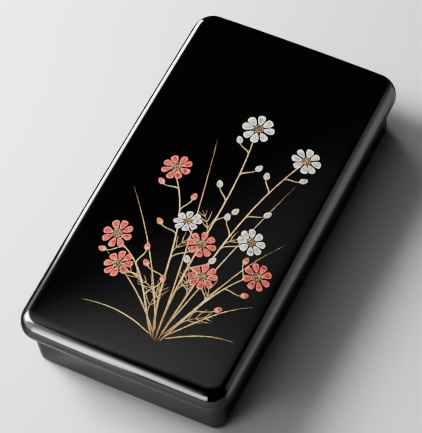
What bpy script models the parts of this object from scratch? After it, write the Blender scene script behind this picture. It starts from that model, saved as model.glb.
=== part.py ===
"""Writing box: a black lacquered box with a lift-off covering lid.

The box stands on the floor plane, centred on the origin. X runs across it, Y along it and Z up.
Each piece is one section swept round the same bowed, round-cornered outline.
All lengths are in metres.
"""

import bmesh
import bpy
import numpy as np

# Outline of the lid seen from above.
LID_WIDTH = 0.134
LID_LENGTH = 0.242
CORNER_RADIUS = 0.0133
LONG_SIDE_BOW = 0.0006
SHORT_SIDE_BOW = 0.0005

# Heights.
TOTAL_HEIGHT = 0.0460
SHOULDER_DROP = 0.0090
LID_BAND = 0.0009
TOP_CROWN = 0.0005

# Thicknesses.
LID_WALL = 0.0042
LID_TOP = 0.0040
BOX_WALL = 0.0040
BOX_FLOOR = 0.0040

# Roundings.
SHOULDER_RUN = 0.0061
LID_RIM_RADIUS = 0.0008
LID_CEILING_FILLET = 0.0010
BOX_DRAW_IN = 0.0010
BOX_FOOT_RADIUS = 0.0022
BOX_RIM_RADIUS = 0.0010
BOX_FLOOR_FILLET = 0.0020
SMALLEST_RADIUS = 0.0003

# Fits between the two pieces.
SIDE_CLEARANCE = 0.0015
TOUCH_GAP = 0.0003

# Fineness of the meshes.
CORNER_STEPS = 9
LONG_SIDE_STEPS = 8
SHORT_SIDE_STEPS = 6
SHOULDER_STEPS = 8
CROWN_STEPS = 4
SIDE_STEPS = 5
FOOT_STEPS = 4
FILLET_STEPS = 2

# Shares that shape the curves.
CROWN_REACH = 0.8
DRAW_IN_POWER = 2.0

# Heights and insets that follow from the sizes above.
LID_HEIGHT = SHOULDER_DROP + LID_BAND + LID_RIM_RADIUS + TOP_CROWN
LID_RIM_LEVEL = TOTAL_HEIGHT - LID_HEIGHT
CEILING_LEVEL = TOTAL_HEIGHT - TOP_CROWN - LID_TOP
BOX_TOP_LEVEL = CEILING_LEVEL - TOUCH_GAP
BOX_INSET = LID_WALL + SIDE_CLEARANCE

LACQUER_BLACK = (0.006, 0.006, 0.007, 1.0)
LACQUER_ROUGHNESS = 0.08
SHARP_ANGLE = np.radians(40.0)


def outline(inset):
    """Points at a distance inside the lid's outside, counter-clockwise from above.

    Each side is a shallow parabola, widest at its middle. Each corner is an arc that meets both
    of its sides without a kink.
    """
    half_width = LID_WIDTH / 2 - inset
    half_length = LID_LENGTH / 2 - inset
    radius = max(CORNER_RADIUS - inset, SMALLEST_RADIUS)
    first_angle = np.arctan(2 * LONG_SIDE_BOW / (half_length - radius))
    last_angle = np.pi / 2 - np.arctan(2 * SHORT_SIDE_BOW / (half_width - radius))
    centre_x = half_width - LONG_SIDE_BOW - radius * np.cos(first_angle)
    centre_y = half_length - SHORT_SIDE_BOW - radius * np.sin(last_angle)

    side = np.arange(LONG_SIDE_STEPS // 2) / (LONG_SIDE_STEPS // 2)
    end_y = centre_y + radius * np.sin(first_angle)
    long_side = np.stack([half_width - LONG_SIDE_BOW * side**2, end_y * side], axis=1)

    angles = np.linspace(first_angle, last_angle, CORNER_STEPS + 1)
    corner = np.stack([centre_x + radius * np.cos(angles), centre_y + radius * np.sin(angles)], axis=1)

    side = np.arange(SHORT_SIDE_STEPS // 2)[::-1] / (SHORT_SIDE_STEPS // 2)
    end_x = centre_x + radius * np.cos(last_angle)
    short_side = np.stack([end_x * side, half_length - SHORT_SIDE_BOW * side**2], axis=1)

    quarter = np.concatenate([long_side, corner, short_side])
    half = np.concatenate([quarter, quarter[-2::-1] * (-1, 1)])
    return np.concatenate([half, -half[1:-1]])


def bend(start, end, steps, leaves_level):
    """Section points on a quarter ellipse from start to end, without the start itself.

    A bend that leaves level starts along the inset and arrives along the height.
    """
    angles = np.linspace(0.0, np.pi / 2, steps + 1)[1:]
    early, late = np.sin(angles), 1 - np.cos(angles)
    inset_share, height_share = (early, late) if leaves_level else (late, early)
    insets = start[0] + (end[0] - start[0]) * inset_share
    heights = start[1] + (end[1] - start[1]) * height_share
    return list(zip(insets, heights))


def lid_section():
    """Section of the lid as (inset, height over its rim), from the top's middle to the ceiling."""
    half_width = LID_WIDTH / 2
    top = LID_HEIGHT
    crown_edge = top - TOP_CROWN
    ceiling = crown_edge - LID_TOP
    shares = np.linspace(0.0, 1.0, CROWN_STEPS + 1)
    crown_insets = SHOULDER_RUN + CROWN_REACH * (half_width - SHOULDER_RUN) * (1 - shares)
    section = list(zip(crown_insets, top - TOP_CROWN * shares**2))
    section += bend(section[-1], (0.0, crown_edge - SHOULDER_DROP), SHOULDER_STEPS, True)
    section.append((0.0, LID_RIM_RADIUS))
    section += bend(section[-1], (LID_RIM_RADIUS, 0.0), FILLET_STEPS, False)
    section.append((LID_WALL - LID_RIM_RADIUS, 0.0))
    section += bend(section[-1], (LID_WALL, LID_RIM_RADIUS), FILLET_STEPS, True)
    section.append((LID_WALL, ceiling - LID_CEILING_FILLET))
    section += bend(section[-1], (LID_WALL + LID_CEILING_FILLET, ceiling), FILLET_STEPS, False)
    return section


def box_side(height):
    """Inset of the box's outside at a height: it draws in towards the floor."""
    share = max(0.0, 1 - height / LID_RIM_LEVEL)
    return BOX_INSET + BOX_DRAW_IN * share**DRAW_IN_POWER


def box_section():
    """Section of the box as (inset, height), from the underside to the inner floor."""
    foot_top = BOX_FOOT_RADIUS
    floor_top = BOX_FLOOR + BOX_FLOOR_FILLET
    section = [(box_side(foot_top) + BOX_FOOT_RADIUS, 0.0)]
    section += bend(section[-1], (box_side(foot_top), foot_top), FOOT_STEPS, True)
    for height in np.linspace(foot_top, LID_RIM_LEVEL, SIDE_STEPS + 1)[1:]:
        section.append((box_side(height), height))
    section.append((BOX_INSET, BOX_TOP_LEVEL - BOX_RIM_RADIUS))
    section += bend(section[-1], (BOX_INSET + BOX_RIM_RADIUS, BOX_TOP_LEVEL), FILLET_STEPS, False)
    inner = BOX_INSET + BOX_WALL
    section.append((inner - BOX_RIM_RADIUS, BOX_TOP_LEVEL))
    section += bend(section[-1], (inner, BOX_TOP_LEVEL - BOX_RIM_RADIUS), FILLET_STEPS, True)
    for height in np.linspace(LID_RIM_LEVEL, floor_top, SIDE_STEPS + 1):
        section.append((box_side(height) + BOX_WALL, height))
    floor_edge = (box_side(floor_top) + BOX_WALL + BOX_FLOOR_FILLET, BOX_FLOOR)
    section += bend(section[-1], floor_edge, FILLET_STEPS, False)
    return section


def sweep(name, section):
    """Mesh of a section swept round the outline, closed by a flat face at either end."""
    mesh = bpy.data.meshes.new(name)
    shape = bmesh.new()
    rings = []
    for inset, height in section:
        rings.append([shape.verts.new((x, y, height)) for x, y in outline(inset)])
    for ring, next_ring in zip(rings, rings[1:]):
        count = len(ring)
        for here in range(count):
            there = (here + 1) % count
            shape.faces.new((ring[here], next_ring[here], next_ring[there], ring[there]))
    shape.faces.new(rings[0])
    shape.faces.new(rings[-1][::-1])
    bmesh.ops.recalc_face_normals(shape, faces=shape.faces)
    shape.to_mesh(mesh)
    shape.free()
    mesh.shade_smooth()
    mesh.set_sharp_from_angle(angle=SHARP_ANGLE)
    return mesh


def lacquer(name):
    """Glossy black lacquer."""
    material = bpy.data.materials.new(name)
    material.use_nodes = True
    shader = material.node_tree.nodes["Principled BSDF"]
    shader.inputs["Base Color"].default_value = LACQUER_BLACK
    shader.inputs["Roughness"].default_value = LACQUER_ROUGHNESS
    shader.inputs["Metallic"].default_value = 0.0
    return material


def add_piece(name, section, level, collection):
    """One swept piece in its own lacquer, standing with its section's zero at a level."""
    mesh = sweep(name, section)
    mesh.materials.append(lacquer(name + " lacquer"))
    piece = bpy.data.objects.new(name, mesh)
    piece.location = (0.0, 0.0, level)
    collection.objects.link(piece)
    return piece


def clear_scene():
    """Remove every object of the scene that the script starts in."""
    for thing in list(bpy.data.objects):
        bpy.data.objects.remove(thing, do_unlink=True)


def main():
    """Build the lid and the box in a collection named for the object."""
    clear_scene()
    collection = bpy.data.collections.new("writing_box")
    bpy.context.scene.collection.children.link(collection)
    add_piece("box", box_section(), 0.0, collection)
    add_piece("lid", lid_section(), LID_RIM_LEVEL, collection)


main()
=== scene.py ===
import math
from collections import namedtuple
from functools import partial

import bpy
import numpy as np
from bpy.props import FloatProperty, FloatVectorProperty, IntProperty, PointerProperty
from bpy.types import Operator, Panel, PropertyGroup
from mathutils import Matrix, Vector


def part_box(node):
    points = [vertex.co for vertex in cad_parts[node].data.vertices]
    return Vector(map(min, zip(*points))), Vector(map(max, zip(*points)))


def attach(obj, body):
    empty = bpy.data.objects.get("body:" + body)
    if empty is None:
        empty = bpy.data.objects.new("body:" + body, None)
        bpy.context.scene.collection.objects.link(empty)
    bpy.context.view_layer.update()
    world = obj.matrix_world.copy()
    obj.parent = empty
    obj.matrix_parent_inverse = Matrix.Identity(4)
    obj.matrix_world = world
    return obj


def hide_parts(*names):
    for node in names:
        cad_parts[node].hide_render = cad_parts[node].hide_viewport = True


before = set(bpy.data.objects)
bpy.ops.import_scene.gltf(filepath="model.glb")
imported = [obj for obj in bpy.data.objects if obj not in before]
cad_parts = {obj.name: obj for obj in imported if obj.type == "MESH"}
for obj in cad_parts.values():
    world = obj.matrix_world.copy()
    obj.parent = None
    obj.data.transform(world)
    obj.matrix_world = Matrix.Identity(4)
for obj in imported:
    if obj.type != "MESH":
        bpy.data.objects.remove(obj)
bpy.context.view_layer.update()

bl_info = {
    "name": "Lacquered writing box",
    "version": (1, 0, 0),
    "blender": (4, 5, 0),
    "location": "View3D > Sidebar > Writing Box",
    "description": "Builds a black lacquered writing box with a painted lid, and a small studio",
    "category": "Add Mesh",
}

BODY = "root"
LID_LOW, LID_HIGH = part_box("lid")
BOX_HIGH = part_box("box")[1]


# Property makers

def setting(kind, name, default, description, **options):
    """A property of a kind, with its name, default and description."""
    return kind(name=name, default=default, description=description, **options)


def angle(name, degrees, description):
    """An angle, given in degrees and kept in radians."""
    return setting(FloatProperty, name, math.radians(degrees), description, subtype="ANGLE")


length = partial(setting, FloatProperty, min=0.0, unit="LENGTH", precision=5)
number = partial(setting, FloatProperty, min=0.0)
share = partial(setting, FloatProperty, min=0.0, max=1.0, subtype="FACTOR")
count = partial(setting, IntProperty, min=1)
colour = partial(setting, FloatVectorProperty, size=3, min=0.0, max=1.0, subtype="COLOR")


# Settings

class WritingBoxSizes(PropertyGroup):
    """Sizes of the two lacquered pieces; the outer ones come from the parts in model.glb."""

    lid_width: length("Lid width", LID_HIGH[0] - LID_LOW[0], "Width of the lid across the box")
    lid_length: length("Lid length", LID_HIGH[1] - LID_LOW[1], "Length of the lid along the box")
    lid_top: length("Lid top", LID_HIGH[2], "Height of the lid's highest point over the table")
    lid_rim: length("Lid rim", LID_LOW[2], "Height of the lid's lower edge over the table")
    box_top: length("Box top", BOX_HIGH[2], "Height of the box's own upper edge")
    corner_radius: length("Corner radius", 0.0133, "Radius of the lid's corners seen from above")
    long_bow: length("Long side bow", 0.0006, "How far each long side swells at its middle")
    short_bow: length("Short side bow", 0.0005, "How far each short side swells at its middle")
    shoulder_run: length("Shoulder run", 0.0061, "Width of the lid's rounded shoulder")
    shoulder_drop: length("Shoulder drop", 0.0090, "Height of the lid's rounded shoulder")
    crown: length("Crown", 0.0005, "How far the lid's top domes in the frame")
    border: length("Border", 0.0056, "Width of the painted top's border, where it starts to fall")
    border_fall: length("Border fall", 0.00006, "How far the border falls towards the shoulder")
    lid_wall: length("Lid wall", 0.0042, "Thickness of the lid's sides")
    lid_thickness: length("Lid thickness", 0.0040, "Thickness of the lid's top")
    rim_radius: length("Rim radius", 0.0008, "Rounding of the lid's lower edge")
    wear_reach: length("Wear reach", 0.0004, "How far from an edge the lacquer is worn thin")
    ceiling_fillet: length("Ceiling fillet", 0.0010, "Rounding inside the lid")
    side_clearance: length("Side clearance", 0.0015, "Room between the lid's wall and the box")
    box_wall: length("Box wall", 0.0040, "Thickness of the box's sides")
    box_floor: length("Box floor", 0.0040, "Thickness of the box's floor")
    draw_in: length("Draw in", 0.0010, "How far the box's sides draw in towards the floor")
    foot_radius: length("Foot radius", 0.0022, "Rounding of the box's lower edge")
    box_rim_radius: length("Box rim radius", 0.0010, "Rounding of the box's upper edge")
    floor_fillet: length("Floor fillet", 0.0020, "Rounding where the inner floor meets the wall")
    smallest_radius: length("Smallest radius", 0.0003, "Radius that an inner corner keeps at least")
    corner_steps: count("Corner steps", 24, "Faces round each corner")
    side_steps: count("Side steps", 14, "Faces on each half of a side")
    bend_steps: count("Bend steps", 20, "Faces across the lid's shoulder")


class LacquerFinish(PropertyGroup):
    """Colours and polish of the lacquer."""

    black: colour("Black", (0.00045, 0.0004, 0.0004), "Colour of thick lacquer")
    thin_brown: colour("Thin brown", (0.050, 0.038, 0.031), "Colour where lacquer is worn thin")
    gloss: share("Gloss", 0.032, "Roughness of the best polished lacquer")
    haze: share("Haze", 0.016, "Roughness that polishing haze adds")
    index: number("Refractive index", 1.54, "Refractive index of the lacquer")


class SprayDesign(PropertyGroup):
    """Sizes and colours of the painted spray on the lid."""

    film: length("Film", 0.00005, "Thickness of a painted line")
    seed: count("Seed", 7, "Seed of the small differences between flowers")
    flower_radius: length("Flower radius", 0.0100, "Radius of a full flower")
    heart_radius: length("Heart radius", 0.0034, "Where the petals begin")
    petal_width: length("Petal width", 0.0048, "Width of a petal")
    petals: count("Petals", 8, "Petals in a full flower")
    stem_width: length("Stem width", 0.0015, "Greatest width of a main stem")
    twig_width: length("Twig width", 0.00058, "Width of a side stem")
    thread_width: length("Thread width", 0.00034, "Width of a leaf's threads")
    blade_width: length("Blade width", 0.00058, "Greatest width of a blade of grass")
    bud_length: length("Bud length", 0.0046, "Length of a bud")
    coral_deep: colour("Coral deep", (0.13, 0.006, 0.007), "Darkest colour inside a coral petal")
    coral: colour("Coral", (0.26, 0.013, 0.013), "Colour inside a coral petal")
    coral_rim: colour("Coral rim", (0.64, 0.14, 0.10), "Colour along a coral petal's edge")
    ivory_deep: colour("Ivory deep", (0.075, 0.077, 0.060), "Darkest colour inside a white petal")
    ivory: colour("Ivory", (0.24, 0.25, 0.19), "Colour inside a white petal")
    ivory_rim: colour("Ivory rim", (0.86, 0.86, 0.78), "Colour along a white petal's edge")
    pale_gold: colour("Pale gold", (0.72, 0.50, 0.21), "Colour of the fine gold lines")
    amber_gold: colour("Amber gold", (0.26, 0.115, 0.012), "Colour of the main stems' gold")
    ground_deep: colour("Ground deep", (0.004, 0.003, 0.002), "Darkest ground under the hearts")
    ground: colour("Ground", (0.020, 0.012, 0.006), "Lightest ground under the hearts")


class StudioSetup(PropertyGroup):
    """Floor, lights and camera."""

    floor_colour: colour("Floor colour", (0.80, 0.80, 0.80), "Colour of the floor")
    # Colour of the floor as the lacquer sees it, unlike its own: a painted reflection.
    painted_floor_reflection: colour("Floor gloss", (0.95, 0.90, 0.91), "Share of the floor seen in the lacquer")
    # Strength of the glow painted on the floor, which shows only in the lacquer as painted highlights
    # and reflections.
    painted_floor_glow: number("Floor shine", 1.0, "Strength of the light that the floor adds in gloss")
    floor_size: length("Floor size", 7.0, "Side of the floor")
    room: number("Room", 0.0157, "Brightness of the dark room on matt surfaces")
    room_gloss: number("Room gloss", 0.02, "Brightness of the dark room in the lacquer")
    key: number("Key", 1.0, "Strength of the lights that fall on matt surfaces")
    shine: number("Shine", 1.0, "Strength of the lights that show in the lacquer")
    azimuth: angle("Azimuth", 33.75, "Turn of the camera from the front towards the right")
    elevation: angle("Elevation", 57.69, "Height angle of the camera")
    roll: angle("Roll", -8.43, "Roll of the camera")
    distance: length("Distance", 1.586, "Distance from the camera to its aim")
    focal: number("Focal length", 226.0, "Focal length in millimetres")


class WritingBoxSettings(PropertyGroup):
    """All settings of the writing box."""

    sizes: PointerProperty(type=WritingBoxSizes)
    lacquer: PointerProperty(type=LacquerFinish)
    spray: PointerProperty(type=SprayDesign)
    studio: PointerProperty(type=StudioSetup)


def settings():
    """The scene's settings for the writing box."""
    return bpy.context.scene.writing_box


def new_object(name, data):
    """A new object in the scene, at the origin."""
    new = bpy.data.objects.new(name, data)
    bpy.context.scene.collection.objects.link(new)
    return new


# Surfaces

Surface = namedtuple("Surface", "vertices quads triangles values")


def closed_shells(rings, first_poles, last_poles, values):
    """Closed surfaces made of rings of points, each closed at both ends by a fan to its pole.

    rings has one row for each shell, ring, point round the ring and axis. Point (s, r, p) joins
    (s, r + 1, p) and (s, r, p + 1), and each ring closes on itself. values maps a name to numbers
    that spread over shells, rings and points; a pole takes the mean of the ring next to it.
    """
    shells, ring_count, around, _ = rings.shape
    body = rings.reshape(shells, ring_count * around, 3)
    points = np.concatenate([body, first_poles[:, None], last_poles[:, None]], axis=1)
    each = ring_count * around + 2
    start = (np.arange(shells) * each)[:, None, None]
    ring = (np.arange(ring_count - 1) * around)[None, :, None]
    here = np.arange(around)[None, None, :]
    there = (here + 1) % around
    near, far = start + ring, start + ring + around
    quads = np.stack([near + here, far + here, far + there, near + there], axis=-1).reshape(-1, 4)
    start = start[:, 0]
    here, there = here[0], there[0]
    last = (ring_count - 1) * around
    pole = start + ring_count * around + np.zeros_like(here)
    opening = np.stack([pole, start + here, start + there], axis=-1)
    closing = np.stack([pole + 1, start + last + there, start + last + here], axis=-1)
    triangles = np.concatenate([opening.reshape(-1, 3), closing.reshape(-1, 3)])
    carried = {}
    for name, numbers in values.items():
        numbers = np.broadcast_to(numbers, (shells, ring_count, around))
        ends = numbers[:, [0, -1]].mean(axis=2)
        carried[name] = np.concatenate([numbers.reshape(shells, -1), ends], axis=1).ravel()
    return Surface(points.reshape(-1, 3), quads, triangles, carried)


def join_surfaces(*surfaces):
    """One surface out of several that carry the same values."""
    offsets = np.cumsum([0] + [len(surface.vertices) for surface in surfaces])
    names = surfaces[0].values.keys()
    return Surface(
        np.concatenate([surface.vertices for surface in surfaces]),
        np.concatenate([surface.quads + offset for surface, offset in zip(surfaces, offsets)]),
        np.concatenate([surface.triangles + offset for surface, offset in zip(surfaces, offsets)]),
        {name: np.concatenate([surface.values[name] for surface in surfaces]) for name in names},
    )


def add_piece(name, surface, material, replaces=None):
    """A smooth mesh object of a surface, riding on the box's body."""
    mesh = bpy.data.meshes.new(name)
    mesh.vertices.add(len(surface.vertices))
    mesh.vertices.foreach_set("co", surface.vertices.astype(np.float32).ravel())
    corners = np.concatenate([surface.quads.ravel(), surface.triangles.ravel()])
    mesh.loops.add(len(corners))
    mesh.loops.foreach_set("vertex_index", corners.astype(np.int32))
    quad_starts = np.arange(len(surface.quads)) * 4
    triangle_starts = surface.quads.size + np.arange(len(surface.triangles)) * 3
    starts = np.concatenate([quad_starts, triangle_starts])
    mesh.polygons.add(len(starts))
    mesh.polygons.foreach_set("loop_start", starts.astype(np.int32))
    mesh.update(calc_edges=True)
    for value_name, numbers in surface.values.items():
        attribute = mesh.attributes.new(value_name, "FLOAT", "POINT")
        attribute.data.foreach_set("value", numbers.astype(np.float32))
    mesh.shade_smooth()
    mesh.materials.append(material)
    piece = new_object(name, mesh)
    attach(piece, BODY)
    if replaces:
        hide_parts(replaces)


# Outline and sections of the two pieces

BORDER_RINGS, TOP_RINGS, FLOOR_RINGS = 12, 12, 6
INNER_RINGS, SIDE_RINGS = 16, 22
FLAT_STEPS, EDGE_STEPS, ROUND_STEPS, FOOT_STEPS = 3, 4, 5, 8
ARC_INSET, LID_WEAR, BOX_WEAR = 0.3, (1.0, 0.8, 0.15), (0.8, 0.8, 0.4)


def outline(sizes, insets):
    """Rings of points at several insets from the lid's outside, counter-clockwise from above.

    A long side is x = half width - bow * share squared, with the share running along the side,
    and a short side is the same across. A corner is an arc of the corner radius less the inset,
    which starts and ends square to the sides that it meets. Points crowd towards the corners by
    the sine of their share, so that the finest faces lie where the side turns into the arc.
    """
    insets = np.asarray(insets, float)[:, None]
    half_width = sizes.lid_width / 2 - insets
    half_length = sizes.lid_length / 2 - insets
    radius = np.maximum(sizes.corner_radius - insets, sizes.smallest_radius)
    first = np.arctan(2 * sizes.long_bow / (half_length - radius))
    last = np.pi / 2 - np.arctan(2 * sizes.short_bow / (half_width - radius))
    centre_x = half_width - sizes.long_bow - radius * np.cos(first)
    centre_y = half_length - sizes.short_bow - radius * np.sin(last)
    crowd = np.sin(np.arange(sizes.side_steps) / sizes.side_steps * np.pi / 2)[None, :]
    long_y = (centre_y + radius * np.sin(first)) * crowd
    long_side = np.stack([half_width - sizes.long_bow * crowd**2, long_y], axis=-1)
    turn = first + (last - first) * np.linspace(0.0, 1.0, sizes.corner_steps + 1)[None, :]
    corner = np.stack([centre_x + radius * np.cos(turn), centre_y + radius * np.sin(turn)], axis=-1)
    back = crowd[:, ::-1]
    short_x = (centre_x + radius * np.cos(last)) * back
    short_side = np.stack([short_x, half_length - sizes.short_bow * back**2], axis=-1)
    quarter = np.concatenate([long_side, corner, short_side], axis=1)
    half = np.concatenate([quarter, quarter[:, -2::-1] * (-1, 1)], axis=1)
    return np.concatenate([half, -half[:, 1:-1]], axis=1)


def section_path(points, *moves):
    """Section points carried on by moves, each with its steps, its end and how it leaves.

    A straight move is a line. The others are quarter ellipses, whose inset and height go by the
    sine and by one less the cosine of an angle that grows evenly to a right angle: in that order
    where the move leaves level, and the other way round where it leaves upright.
    """
    for steps, end, leaves in moves:
        start, end = points[-1], np.array(end)
        if leaves == "straight":
            more = np.linspace(start, end, steps + 1)[1:]
        else:
            angles = np.linspace(0.0, np.pi / 2, steps + 1)[1:]
            shares = np.stack([np.sin(angles), 1 - np.cos(angles)], axis=-1)
            more = start + (end - start) * (shares if leaves == "level" else shares[:, ::-1])
        points = np.concatenate([points, more])
    return points


def dome_height(sizes, x, y):
    """Height of the lid's painted top at x, y.

    The edge level plus the crown times one less the cubed share of the way across, times one less
    the cubed share of the way along. The crown leaves room for the thickest film.
    """
    rise = sizes.crown - settings().spray.film * FILM_ROOM
    for where, side in ((x, sizes.lid_width), (y, sizes.lid_length)):
        rise = rise * (1 - np.minimum(np.abs(where) / (side / 2 - sizes.shoulder_run), 1) ** 3)
    return sizes.lid_top - sizes.crown + rise


def level_disc(ring, steps, height):
    """Scaled copies of a ring, from near its centre to just inside it, at a height of x and y."""
    scales = (np.arange(steps) + 1)[:, None, None] / (steps + 1)
    flat = ring[None, :, :2] * scales
    return np.concatenate([flat, height(flat[..., 0], flat[..., 1])[..., None]], axis=-1)


def section_rings(sizes, section):
    """Rings of an (inset, height) section carried round the outline."""
    flat = outline(sizes, section[:, 0])
    heights = np.broadcast_to(section[:, 1, None, None], flat.shape[:2] + (1,))
    return np.concatenate([flat, heights], axis=-1)


def lid_section(sizes):
    """Section of the lid from the border of its top to the edge of its ceiling.

    The border falls by the cube of the share of the way across it.
    """
    edge = sizes.lid_top - sizes.crown
    ceiling = edge - sizes.lid_thickness
    wall, rim, radius, fillet = sizes.lid_wall, sizes.lid_rim, sizes.rim_radius, sizes.ceiling_fillet
    share = np.linspace(0.0, 1.0, BORDER_RINGS)
    border_inset = sizes.shoulder_run + sizes.border * (1 - share)
    return section_path(
        np.stack([border_inset, edge - sizes.border_fall * share**3], axis=-1),
        (sizes.bend_steps, (0.0, edge - sizes.shoulder_drop), "level"),
        (FLAT_STEPS, (0.0, rim + radius), "straight"),
        (ROUND_STEPS, (radius, rim), "upright"),
        (FLAT_STEPS, (wall - radius, rim), "straight"),
        (EDGE_STEPS, (wall, rim + radius), "level"),
        (EDGE_STEPS, (wall, ceiling - fillet), "straight"),
        (EDGE_STEPS, (wall + fillet, ceiling), "upright"),
    )


def box_side(sizes, height):
    """Inset of the box's outside: it grows by the square of the share of the way down."""
    down = np.maximum(0.0, 1 - height / sizes.lid_rim)
    return sizes.lid_wall + sizes.side_clearance + sizes.draw_in * down**2


def box_section(sizes):
    """Section of the box from the edge of its inner floor over its rim to its underside."""
    wall, rim, fillet, top = sizes.box_wall, sizes.box_rim_radius, sizes.floor_fillet, sizes.box_top
    inset = sizes.lid_wall + sizes.side_clearance
    floor_top = sizes.box_floor + fillet
    floor_inset = box_side(sizes, floor_top) + wall
    start = np.array([[floor_inset + fillet, sizes.box_floor]])
    points = section_path(start, (ROUND_STEPS, (floor_inset, floor_top), "level"))
    heights = np.linspace(floor_top, sizes.lid_rim, INNER_RINGS)[1:]
    inner = np.stack([box_side(sizes, heights) + wall, heights], axis=-1)
    points = section_path(
        np.concatenate([points, inner]),
        (1, (inset + wall, top - rim), "straight"),
        (EDGE_STEPS, (inset + wall - rim, top), "upright"),
        (1, (inset + rim, top), "straight"),
        (EDGE_STEPS, (inset, top - rim), "level"),
    )
    heights = np.linspace(sizes.lid_rim, sizes.foot_radius, SIDE_RINGS)
    outer = np.stack([box_side(sizes, heights), heights], axis=-1)
    foot_end = (outer[-1, 0] + sizes.foot_radius, 0.0)
    return section_path(np.concatenate([points, outer]), (FOOT_STEPS, foot_end, "upright"))


def worn_thin(sizes, section, edges):
    """How thin the lacquer is along a section: a bell curve round each edge.

    An edge is an inset, a height and a strength. The strength times e to the power of less the
    squared distance over the squared reach counts, and the largest of these is taken.
    """
    edges = np.array(edges)
    gaps = np.linalg.norm(section[:, None] - edges[None, :, :2], axis=-1)
    return (np.exp(-((gaps / sizes.wear_reach) ** 2)) * edges[:, 2]).max(axis=1)


def swept_piece(sizes, section, thin, first_height, last_height, disc_steps, border=1):
    """Closed surface of a section swept round the outline, with a disc closing either end.

    The first rings, as many as the border says, lie below the first disc's height by as much as
    their section falls.
    """
    rings = section_rings(sizes, section)
    start = rings[:border]
    fall = section[:border, 1, None] - section[0, 1]
    start[..., 2] = first_height(start[..., 0], start[..., 1]) + fall
    first_disc = level_disc(rings[0], disc_steps, first_height)
    last_disc = level_disc(rings[-1], disc_steps, last_height)[::-1]
    all_rings = np.concatenate([first_disc, rings, last_disc])
    middle = np.zeros(1)
    first_pole = np.array([[0.0, 0.0, first_height(middle, middle)[0]]])
    last_pole = np.array([[0.0, 0.0, last_height(middle, middle)[0]]])
    thin = np.pad(thin, disc_steps)
    return closed_shells(all_rings[None], first_pole, last_pole, {"thin": thin[None, :, None]})


def at_level(height):
    """A height function that is the same everywhere."""
    return lambda x, y: np.full(np.shape(x), height)


# Painted films on the lid

SUNK, LINE_END = -0.3, 0.3
Profile = namedtuple("Profile", "shares heights")
PETAL_PROFILE = Profile(
    np.array([0.30, 0.55, 0.75, 0.88, 0.96, 1.0, 1.0]),
    np.array([0.62, 0.64, 0.74, 0.95, 1.0, 0.60, SUNK]),
)
DOT_PROFILE = Profile(np.array([0.5, 0.85, 1.0]), np.array([0.9, 0.6, SUNK]))
GROUND_PROFILE = Profile(np.array([0.6, 0.97, 1.0]), np.array([1.0, 1.0, SUNK]))
LINE_PROFILE = Profile(
    np.array([-1.0, -0.92, -0.5, 0.0, 0.5, 0.92, 1.0]),
    np.array([SUNK, 0.45, 0.9, 1.0, 0.9, 0.45, SUNK]),
)
PETAL_FILM, BUD_FILM, SEPAL_FILM, DOT_FILM, LINE_FILM, GROUND_FILM = 2.4, 2.6, 3.0, 3.4, 1.0, 1.5
FILM_ROOM = 3.6


def on_lid(flat, heights, films):
    """Points on the lid's top: x and y as given, and z a number of films over the dome."""
    sizes = settings().sizes
    z = dome_height(sizes, flat[..., 0], flat[..., 1]) + heights * films * settings().spray.film
    return np.concatenate([flat, z[..., None]], axis=-1)


def film_patches(centres, edges, films, profile, values):
    """Closed thin films, whose edge rings shrink towards their centres by a profile's shares.

    A ring's height is its number in the profile times the film, over the lid's dome, so the last
    ring is sunk in the lid. The value called rim is the ring's share. The other values spread
    over patches, rings and points.
    """
    shares = profile.shares[None, :, None, None]
    flat = centres[:, None, None] + (edges - centres[:, None])[:, None] * shares
    rings = on_lid(flat, profile.heights[:, None], films)
    top, bottom = on_lid(centres, profile.heights[0], films), on_lid(centres, SUNK, films)
    return closed_shells(rings, top, bottom, {"rim": profile.shares[None, :, None], **values})


def film_lines(paths, widths, ages):
    """Closed thin lines along paths: the section is a low arch whose feet are sunk in the lid.

    Each point of a path spreads to both sides by half its width. The value called age is 1 for
    old gold and 0 for fresh. Widths and ages go by the points of a path.
    """
    widths, ages = (np.broadcast_to(numbers, paths.shape[:2]) for numbers in (widths, ages))
    tangent = np.gradient(paths, axis=1)
    tangent /= np.linalg.norm(tangent, axis=2, keepdims=True)
    normal = np.stack([-tangent[..., 1], tangent[..., 0]], axis=-1)
    offsets = widths[..., None] / 2 * LINE_PROFILE.shares
    flat = paths[:, :, None] + normal[:, :, None] * offsets[..., None]
    rings = on_lid(flat, LINE_PROFILE.heights, LINE_FILM)
    first, last = (on_lid(paths[:, end], LINE_END, LINE_FILM) for end in (0, -1))
    return closed_shells(rings, first, last, {"age": ages[..., None]})


# Plan of the spray

Stem = namedtuple("Stem", "root tip root_heading tip_heading shoots coral")
Head = namedtuple("Head", "place heading radius foot foot_heading coral flower")

MAIN_STEMS = (
    Stem((0.0112, -0.0965), (-0.038, -0.047), 130, 166, 4, True),
    Stem((0.0125, -0.0972), (-0.028, 0.008), 116, 134, 5, True),
    Stem((0.0137, -0.0975), (0.004, 0.052), 101, 102, 6, False),
    Stem((0.0149, -0.0972), (0.040, 0.044), 86, 66, 6, False),
    Stem((0.0162, -0.0965), (0.047, -0.036), 70, 44, 4, True),
)
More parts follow.
